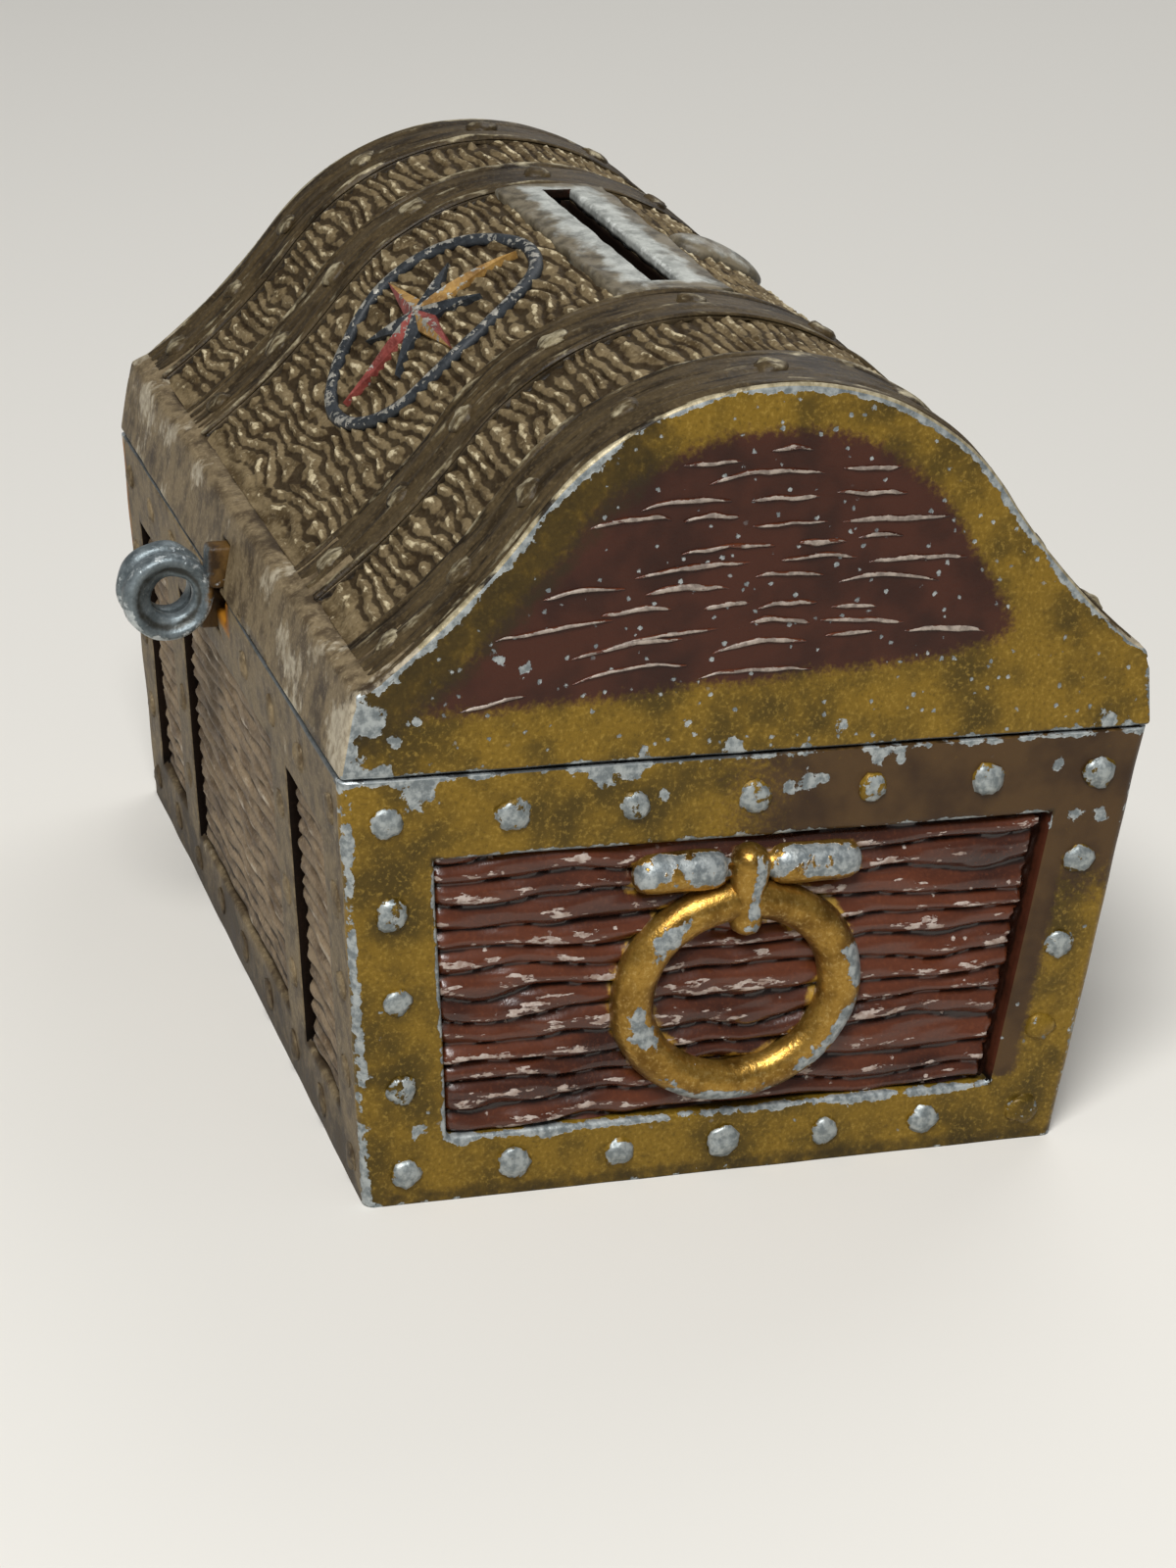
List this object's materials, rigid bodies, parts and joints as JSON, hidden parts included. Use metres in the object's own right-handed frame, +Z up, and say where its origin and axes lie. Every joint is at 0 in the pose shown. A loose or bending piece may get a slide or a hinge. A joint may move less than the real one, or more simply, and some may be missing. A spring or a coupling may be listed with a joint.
{
  "type": "treasure chest coin bank",
  "caption": "Small cast-metal treasure chest with a hinged bell-shaped lid, a coin slot in the crown, riveted straps, plank panels, ring handles and padlock eyes.",
  "frame": {"origin": "middle of the base, on the surface that the chest stands on", "axes": "+Z up, X along the chest, the padlock eyes on the front at -Y, the hinge on the back at +Y"},
  "size_m": [0.0864, 0.0763, 0.0651],
  "materials": {
    "aged_gold_paint": "worn bronze-gold paint on cast zinc",
    "bright_gold_paint": "worn gold paint on cast zinc",
    "brown_plank_paint": "red-brown paint, worn on the grain",
    "dusty_plank_paint": "dusty brown paint, worn on the grain",
    "dark_strap_paint": "dull olive-brown paint",
    "bare_zinc": "bare grey cast zinc, paint worn off",
    "charcoal_paint": "worn charcoal paint",
    "ochre_paint": "worn ochre paint",
    "steel_pin": "dull drawn wire"
  },
  "bodies": {
    "chest": {"back_planks_left": "brown_plank_paint", "back_planks_middle": "brown_plank_paint", "back_planks_right": "brown_plank_paint", "back_rivets": "bare_zinc", "box_casting": "aged_gold_paint", "box_padlock_eye": "bare_zinc", "front_planks_left": "brown_plank_paint", "front_planks_middle": "brown_plank_paint", "front_planks_right": "brown_plank_paint", "front_rivets": "bare_zinc", "left_end_planks": "brown_plank_paint", "left_end_rivets": "bare_zinc", "left_handle_bar": "bright_gold_paint", "left_handle_ring": "bright_gold_paint", "left_handle_staple": "bright_gold_paint", "left_hinge_pin": "steel_pin", "right_end_planks": "brown_plank_paint", "right_end_rivets": "bare_zinc", "right_handle_bar": "bright_gold_paint", "right_handle_ring": "bright_gold_paint", "right_handle_staple": "bright_gold_paint", "right_hinge_pin": "steel_pin"},
    "lid": {"coin_slot_pad": "bare_zinc", "compass_points": "ochre_paint", "compass_ring": "charcoal_paint", "left_end_strap_rivets": "dark_strap_paint", "left_inner_strap_rivets": "dark_strap_paint", "lid_casting": "aged_gold_paint", "lid_padlock_eye": "bare_zinc", "oval_boss": "bare_zinc", "right_end_strap_rivets": "dark_strap_paint", "right_inner_strap_rivets": "dark_strap_paint", "roof_planks_left": "dusty_plank_paint", "roof_planks_middle_back": "dusty_plank_paint", "roof_planks_middle_front": "dusty_plank_paint", "roof_planks_right": "dusty_plank_paint"}
  },
  "joints": [
    {"name": "lid_hinge", "type": "hinge", "parent": "chest", "child": "lid", "pos_m": [0, 0.0345, 0.0358], "axis": [-1, 0, 0], "range_deg": [0, 105]}
  ]
}
